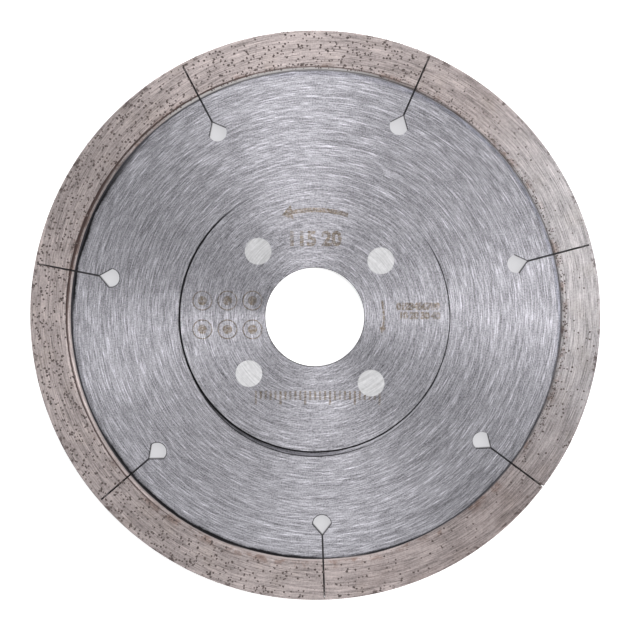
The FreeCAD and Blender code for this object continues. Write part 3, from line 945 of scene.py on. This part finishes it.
def graduation_tree():
    """A row of plain bars, with every fifth one tall, that stop at a rivet's head."""
    sheet, given, result = new_group("Graduation", "GeometryNodeTree", {
        "Geometry": "NodeSocketGeometry",
        "Bars": 26,
        "Pitch": 1 * MM,
        "Bar Width": 0.44 * MM,
        "Low": 1.8 * MM,
        "Tall": 2.8 * MM,
        "Rivet X": 10 * MM,
        "Rivet Y": 1 * MM,
        "Rivet Radius": 2.7 * MM,
        "Thickness": 0.02 * MM,
        "Finish": "NodeSocketMaterial",
    }, {"Geometry": "NodeSocketGeometry"})
    row = sheet.add("GeometryNodeMeshLine", mode="OFFSET")
    row_length = sheet.maths("MULTIPLY", sheet.maths("SUBTRACT", given["Bars"], 1.0), given["Pitch"])
    start = sheet.combined(X=sheet.maths("MULTIPLY", row_length, -0.5))
    sheet.fill(row, Count=given["Bars"], Start_Location=start, Offset=sheet.combined(X=given["Pitch"]))
    index = sheet.add("GeometryNodeInputIndex").outputs[0]
    is_tall = sheet.maths("LESS_THAN", sheet.maths("MODULO", index, 5.0), 0.5)
    growth = sheet.maths("SUBTRACT", given["Tall"], given["Low"])
    bottom = sheet.maths("MULTIPLY", sheet.maths("MULTIPLY_ADD", is_tall, growth, given["Low"]), -1.0)

    # A bar hangs from the row's line, or from the lower side of the rivet where that is in its way
    spot = sheet.separated(sheet.add("GeometryNodeInputPosition").outputs[0])
    offset = sheet.maths("SUBTRACT", spot["X"], given["Rivet X"])
    beside = sheet.maths("DIVIDE", offset, given["Rivet Radius"])
    squared = sheet.maths("MULTIPLY_ADD", beside, sheet.maths("MULTIPLY", beside, -1.0), 1.0)
    rise = sheet.maths("SQRT", sheet.maths("MAXIMUM", squared, 0.0))
    drop = sheet.maths("MULTIPLY", rise, given["Rivet Radius"])
    underside = sheet.maths("SUBTRACT", given["Rivet Y"], drop)
    in_way = sheet.maths("LESS_THAN", sheet.maths("ABSOLUTE", beside), 1.0)
    top = sheet.maths("MINIMUM", sheet.maths("MULTIPLY", in_way, underside), 0.0)
    length = sheet.maths("SUBTRACT", top, bottom)
    middle = sheet.maths("MULTIPLY", sheet.maths("ADD", top, bottom), 0.5)
    size = sheet.combined(X=given["Bar Width"], Y=length, Z=given["Thickness"])
    hung = sheet.add("GeometryNodeSetPosition")
    sheet.fill(hung, Geometry=row.outputs[0], Offset=sheet.combined(Y=middle))
    bar = sheet.add("GeometryNodeMeshCube")
    bar.inputs["Size"].default_value = (1.0, 1.0, 1.0)
    bars = sheet.add("GeometryNodeInstanceOnPoints")
    sheet.fill(bars, Points=hung.outputs[0], Instance=bar.outputs[0], Scale=size)
    end_tree(sheet, result, bars.outputs[0], given["Finish"])
    return sheet.tree


def roundels_tree():
    """A grid of plain rings, each with a dot in its middle."""
    sheet, given, result = new_group("Roundels", "GeometryNodeTree", {
        "Geometry": "NodeSocketGeometry",
        "Columns": 3,
        "Rows": 2,
        "Spread X": 10.1 * MM,
        "Spread Y": 5.8 * MM,
        "Ring Radius": 1.9 * MM,
        "Line Width": 0.24 * MM,
        "Dot Radius": 0.95 * MM,
        "Thickness": 0.02 * MM,
        "Finish": "NodeSocketMaterial",
    }, {"Geometry": "NodeSocketGeometry"})
    grid = sheet.add("GeometryNodeMeshGrid")
    sheet.fill(grid, Size_X=given["Spread X"], Size_Y=given["Spread Y"],
               Vertices_X=given["Columns"], Vertices_Y=given["Rows"])
    path = sheet.fill(sheet.add("GeometryNodeCurvePrimitiveCircle"),
                      Resolution=28, Radius=given["Ring Radius"])
    section = sheet.fill(sheet.add("GeometryNodeCurvePrimitiveQuadrilateral"),
                         Width=given["Line Width"], Height=given["Thickness"])
    ring = sheet.add("GeometryNodeCurveToMesh")
    sheet.feed(ring.inputs[0], path.outputs[0])
    sheet.feed(ring.inputs[1], section.outputs[0])
    dot = sheet.fill(sheet.add("GeometryNodeMeshCylinder"), Vertices=18,
                     Radius=given["Dot Radius"], Depth=given["Thickness"])
    roundel = sheet.add("GeometryNodeJoinGeometry")
    sheet.feed(roundel.inputs[0], ring.outputs[0])
    sheet.feed(roundel.inputs[0], dot.outputs[0])
    roundels = sheet.add("GeometryNodeInstanceOnPoints")
    sheet.fill(roundels, Points=grid.outputs[0], Instance=roundel.outputs[0])
    end_tree(sheet, result, roundels.outputs[0], given["Finish"])
    return sheet.tree


def plate_from_outline(name, outline, bottom, top):
    """A thin plate with the given outline, counter-clockwise seen from above."""
    shell = bmesh.new()
    face = shell.faces.new([shell.verts.new((x, y, bottom)) for x, y in outline])
    grown = bmesh.ops.extrude_face_region(shell, geom=[face])
    raised = [item for item in grown["geom"] if isinstance(item, bmesh.types.BMVert)]
    bmesh.ops.translate(shell, vec=(0.0, 0.0, top - bottom), verts=raised)
    bmesh.ops.triangulate(shell, faces=shell.faces)
    bmesh.ops.recalc_face_normals(shell, faces=shell.faces)
    return mesh_from(shell, name)


# Reach of an arrow's barbs from its middle line, in widths of its shaft
BARB_REACH = 1.7


def arrow_outline(radius, width, start, end, head_sweep, steps=24):
    """An arc with an arrowhead at its end; angles in degrees."""
    turn = 1.0 if end > start else -1.0
    shaft_end = end - turn * head_sweep
    angles = [start + (shaft_end - start) * i / steps for i in range(steps + 1)]
    reach_out = BARB_REACH * width
    spots = [(radius + width / 2, angle) for angle in angles]
    spots += [(radius + reach_out, shaft_end), (radius, end), (radius - reach_out, shaft_end)]
    spots += [(radius - width / 2, angle) for angle in reversed(angles)]
    outline = [polar(*spot).xy for spot in spots]
    return outline if turn > 0 else outline[::-1]


# Height of a figure as a share of the letter size
FIGURE_SHARE = 0.72


def figures_mesh(text, height, centre, thickness, bottom, spacing, boldness):
    """Plain figures as thin plates, with their middle at the given place."""
    letters = bpy.data.curves.new("figures", "FONT")
    letters.body = text
    letters.size = height / FIGURE_SHARE
    letters.space_character = spacing
    letters.align_x = "CENTER"
    letters.align_y = "CENTER"
    letters.extrude = thickness / 2
    letters.offset = boldness
    letters.resolution_u = 4
    carrier = bpy.data.objects.new("figures_carrier", letters)
    bpy.context.scene.collection.objects.link(carrier)
    mesh = applied(carrier)
    mesh.transform(Matrix.Translation((centre[0], centre[1], bottom + thickness / 2)))
    return mesh


# How far each slot is closed from the rim's edge inwards, from the first slot on; the last one is open
SMEARED_LENGTHS = (0.75 * MM, 0.35 * MM, 0.45 * MM, 0.65 * MM, 1.0 * MM, 0.35 * MM)
SMEAR_WIDTH = 0.46 * MM
SMEAR_HEIGHT = 0.008 * MM


def add_smear(shell, direction, length):
    """Matrix dragged over the mouth of a slot, which follows the rim's two faces, chamfers and edge."""
    face, edge = RIM_FACE + SMEAR_HEIGHT, RIM_EDGE + SMEAR_HEIGHT
    turn = Matrix.Rotation(direction, 3, "Z")
    sides = []
    for across, inner in ((-SMEAR_WIDTH / 2, edge - length), (SMEAR_WIDTH / 2, edge - 0.8 * length)):
        upper = [(inner, face), (edge - RIM_CHAMFER, face), (edge, face - RIM_CHAMFER)]
        lower = [(radius, -level) for radius, level in reversed(upper)]
        section = [turn @ Vector((radius, across, level)) for radius, level in upper + lower]
        sides.append([shell.verts.new(spot) for spot in section])
    first, second = sides
    shell.faces.new(first)
    shell.faces.new(second[::-1])
    for i in range(len(first)):
        shell.faces.new((first[i - 1], first[i], second[i], second[i - 1]))


class DiscOperator(bpy.types.Operator):
    """Base of the operators that finish the disc."""
    bl_options = {"REGISTER", "UNDO"}


class CUTTINGDISC_OT_finish_core(DiscOperator):
    """Give the core its ground steel, with the dark lines beside the hub and the rim"""
    bl_idname = "cutting_disc.finish_core"
    bl_label = "Core"

    def execute(self, context):
        dress(["steel_core"], core_steel(context.scene.disc_steel, context.scene.disc_rim))
        return {"FINISHED"}


class CUTTINGDISC_OT_finish_flanges(DiscOperator):
    """Give both flanges their ground steel"""
    bl_idname = "cutting_disc.finish_flanges"
    bl_label = "Flanges"

    def execute(self, context):
        dress(["front_flange", "rear_flange"], flange_steel(context.scene.disc_steel))
        return {"FINISHED"}


class CUTTINGDISC_OT_finish_rivets(DiscOperator):
    """Give the rivets their bright heads"""
    bl_idname = "cutting_disc.finish_rivets"
    bl_label = "Rivets"

    def execute(self, context):
        dress(["rivets"], rivet_steel(context.scene.disc_steel))
        return {"FINISHED"}


class CUTTINGDISC_OT_finish_rim(DiscOperator):
    """Give the rim segments their sintered bronze, and close the mouths of the slots that are smeared over"""
    bl_idname = "cutting_disc.finish_rim"
    bl_label = "Rim segments"

    def execute(self, context):
        matrix = diamond_matrix(context.scene.disc_rim, context.scene.disc_steel)
        dress(RIM_NODES, matrix)
        shell = bmesh.new()
        for slot, length in enumerate(SMEARED_LENGTHS):
            add_smear(shell, FIRST_SLOT + slot * SLOT_PITCH, length)
        bmesh.ops.recalc_face_normals(shell, faces=shell.faces)
        add_piece("smeared_mouths", mesh_from(shell, "smeared_mouths"), matrix)
        return {"FINISHED"}


class CUTTINGDISC_OT_set_grit(DiscOperator):
    """Set diamond grains into the faces of the rim"""
    bl_idname = "cutting_disc.set_grit"
    bl_label = "Diamond grit"

    def execute(self, context):
        rim = context.scene.disc_rim
        finish = diamond_grain()
        mesh = run_geometry(grit_tree(), joined_copy(RIM_NODES, "rim_copy"), {
            "Density": rim.grain_density,
            "Grain Size": rim.grain_size,
            "Inner Edge": RIM_FOOT + 0.6 * MM,
            "Outer Edge": RIM_EDGE,
            "Face": RIM_FACE,
            "Crowded Side": tuple(polar(1.0, 150)),
            "Crowded Inner Side": tuple(polar(1.0, 50)),
            "Crowded Outer Side": tuple(polar(1.0, 205)),
            "Sparse Side": tuple(polar(1.0, 36)),
            "Seed": rim.seed,
            "Finish": finish,
        })
        add_piece("diamond_grit", mesh, finish)
        return {"FINISHED"}


class CUTTINGDISC_OT_etch_marks(DiscOperator):
    """Put plain laser marks on the front flange: arrows, figures, roundels and a graduation"""
    bl_idname = "cutting_disc.etch_marks"
    bl_label = "Laser marks"

    def execute(self, context):
        mark = context.scene.disc_marks
        finish = annealed_mark(mark, context.scene.disc_steel)
        bottom = FLANGE_FACE - mark.thickness / 2
        top = FLANGE_FACE + mark.thickness
        thickness = top - bottom

        arrows = {
            "turning_arrow": arrow_outline(21.6 * MM, 0.9 * MM, 72, 108, 6.0),
            "inner_arrow": arrow_outline(13.9 * MM, 0.45 * MM, 14, -14, 6.0),
        }
        for name, outline in arrows.items():
            add_piece(name, plate_from_outline(name, outline, bottom, top), finish)

        # Name, figures, height, middle, spacing and boldness
        figures = [
            ("size_figures", mark.figures, 2.9, (-0.1, 15.7), 0.98, 0.17),
            ("upper_figures", "0123456789", 1.35, (20.8, 2.15), 0.92, 0.13),
            ("lower_figures", "10 20 30 40", 1.35, (21.1, 0.3), 0.92, 0.13),
        ]
        for name, text, height, (x, y), spacing, boldness in figures:
            mesh = figures_mesh(text, height * MM, (x * MM, y * MM), thickness, bottom,
                                spacing, boldness * MM)
            add_piece(name, mesh, finish)

        row, grid = Vector((0.6, -14.9)) * MM, Vector((-17.6, 0.45)) * MM
        rivet = polar(RIVET_CIRCLE, math.degrees(FIRST_SLOT + SLOT_PITCH / 2) - 90).xy - row
        patterns = {
            "graduation": (graduation_tree(), row, {"Rivet X": rivet.x, "Rivet Y": rivet.y,
                                                    "Rivet Radius": RIVET_HEAD}),
            "roundels": (roundels_tree(), grid, {}),
        }
        for name, (tree, spot, values) in patterns.items():
            values.update({"Thickness": thickness, "Finish": finish})
            mesh = run_geometry(tree, bpy.data.meshes.new(name), values)
            mesh.transform(Matrix.Translation((*spot, bottom + thickness / 2)))
            add_piece(name, mesh, finish)
        return {"FINISHED"}


class CUTTINGDISC_OT_build_stage(DiscOperator):
    """Lay the pale floor and set the light boxes, the sky and the camera"""
    bl_idname = "cutting_disc.build_stage"
    bl_label = "Stage"

    def execute(self, context):
        studio = context.scene.disc_studio
        lay_floor(studio)
        light_sky(studio)
        for name, (azimuth, share, width) in LIGHT_BOXES.items():
            add_light_box(name, azimuth, share * studio.lamp_power, width)
        set_camera(studio)
        context.scene.view_settings.view_transform = "Standard"
        return {"FINISHED"}


# Stage

# Light boxes: direction in degrees, share of the lamp power and width in metres
LIGHT_BOXES = {
    "right_box": (2, 0.78, 0.28),
    "top_box": (97, 0.8, 0.4),
    "corner_box": (46, 0.15, 0.3),
    "low_box": (277, 0.13, 0.4),
}
LAMP_DISTANCE = 0.9
LAMP_ELEVATION = 46
LAMP_HEIGHT = 0.75
FLOOR_RADIUS = 1.5


def lay_floor(studio):
    shell = bmesh.new()
    bmesh.ops.create_circle(shell, cap_ends=True, segments=96, radius=FLOOR_RADIUS)
    mesh = mesh_from(shell, "floor")
    mesh.materials.append(pale_floor(studio))
    floor = bpy.data.objects.new("floor", mesh)
    floor.location.z = FLOOR_LEVEL
    bpy.context.scene.collection.objects.link(floor)


def light_sky(studio):
    """Even light from all sides, and a white sky behind the floor's edge."""
    world = bpy.data.worlds.new("studio_sky")
    bpy.context.scene.world = world
    world.use_nodes = True
    world.node_tree.nodes.clear()
    sheet = NodeSheet(world.node_tree)
    lighting = sheet.fill(sheet.add("ShaderNodeBackground"),
                          Color=(0.98, 0.99, 1.0, 1.0), Strength=studio.sky)
    seen = sheet.fill(sheet.add("ShaderNodeBackground"), Color=(1.0, 1.0, 1.0, 1.0), Strength=1.0)
    choice = sheet.add("ShaderNodeMixShader")
    sheet.feed(choice.inputs[0], sheet.add("ShaderNodeLightPath").outputs["Is Camera Ray"])
    sheet.feed(choice.inputs[1], lighting.outputs[0])
    sheet.feed(choice.inputs[2], seen.outputs[0])
    sheet.feed(sheet.add("ShaderNodeOutputWorld").inputs["Surface"], choice.outputs[0])


def add_light_box(name, azimuth, power, width):
    """A tall soft light that faces the disc from a direction in degrees."""
    light = bpy.data.lights.new(name, "AREA")
    light.shape = "RECTANGLE"
    light.size = width
    light.size_y = LAMP_HEIGHT
    light.energy = power
    lamp = bpy.data.objects.new(name, light)
    tilt = math.radians(LAMP_ELEVATION)
    place = polar(LAMP_DISTANCE * math.cos(tilt), azimuth)
    place.z = LAMP_DISTANCE * math.sin(tilt)
    lamp.location = place
    lamp.rotation_euler = (-place).to_track_quat("-Z", "Y").to_euler()
    lamp.visible_camera = False
    bpy.context.scene.collection.objects.link(lamp)


# The photograph's frame: its width in pixels, pixels per millimetre on the disc and where the axis shows
PHOTO_WIDTH = 630
PIXELS_PER_MM = 4.963
AXIS_PIXEL = (314.72, 317.25)
LEAN_DIRECTION = 73
SENSOR_WIDTH = 36.0


def set_camera(studio):
    lens = bpy.data.cameras.new("camera")
    lens.sensor_width = SENSOR_WIDTH
    seen_width = PHOTO_WIDTH / PIXELS_PER_MM * MM
    lens.lens = SENSOR_WIDTH * studio.camera_distance / seen_width
    lens.clip_start = 0.01
    camera = bpy.data.objects.new("camera", lens)
    middle = PHOTO_WIDTH / 2
    aim = Vector((middle - AXIS_PIXEL[0], AXIS_PIXEL[1] - middle, 0.0)) / PIXELS_PER_MM * MM
    aim.z = RIM_FACE
    back = polar(math.sin(studio.camera_lean), LEAN_DIRECTION)
    back.z = math.cos(studio.camera_lean)
    side = Vector((0.0, 1.0, 0.0)).cross(back).normalized()
    turn = Matrix((side, back.cross(side), back)).transposed()
    camera.matrix_world = Matrix.Translation(aim + back * studio.camera_distance) @ turn.to_4x4()
    bpy.context.scene.collection.objects.link(camera)
    bpy.context.scene.camera = camera


class CUTTINGDISC_PT_pieces(bpy.types.Panel):
    bl_label = "Cutting Disc"
    bl_idname = "CUTTINGDISC_PT_pieces"
    bl_space_type = "VIEW_3D"
    bl_region_type = "UI"
    bl_category = "Cutting Disc"

    def draw(self, context):
        for operator in OPERATORS:
            self.layout.operator(operator.bl_idname)


SETTINGS = {
    "disc_steel": SteelFinish,
    "disc_rim": RimFinish,
    "disc_marks": MarkSizes,
    "disc_studio": Studio,
}
OPERATORS = (
    CUTTINGDISC_OT_finish_core,
    CUTTINGDISC_OT_finish_flanges,
    CUTTINGDISC_OT_finish_rivets,
    CUTTINGDISC_OT_finish_rim,
    CUTTINGDISC_OT_set_grit,
    CUTTINGDISC_OT_etch_marks,
    CUTTINGDISC_OT_build_stage,
)


def register():
    for group in (*SETTINGS.values(), *OPERATORS, CUTTINGDISC_PT_pieces):
        bpy.utils.register_class(group)
    for name, group in SETTINGS.items():
        setattr(bpy.types.Scene, name, PointerProperty(type=group))


def unregister():
    for name in SETTINGS:
        delattr(bpy.types.Scene, name)
    for group in reversed((*SETTINGS.values(), *OPERATORS, CUTTINGDISC_PT_pieces)):
        bpy.utils.unregister_class(group)


def main():
    register()
    for operator in OPERATORS:
        family, name = operator.bl_idname.split(".")
        getattr(getattr(bpy.ops, family), name)()


if __name__ == "__main__":
    main()
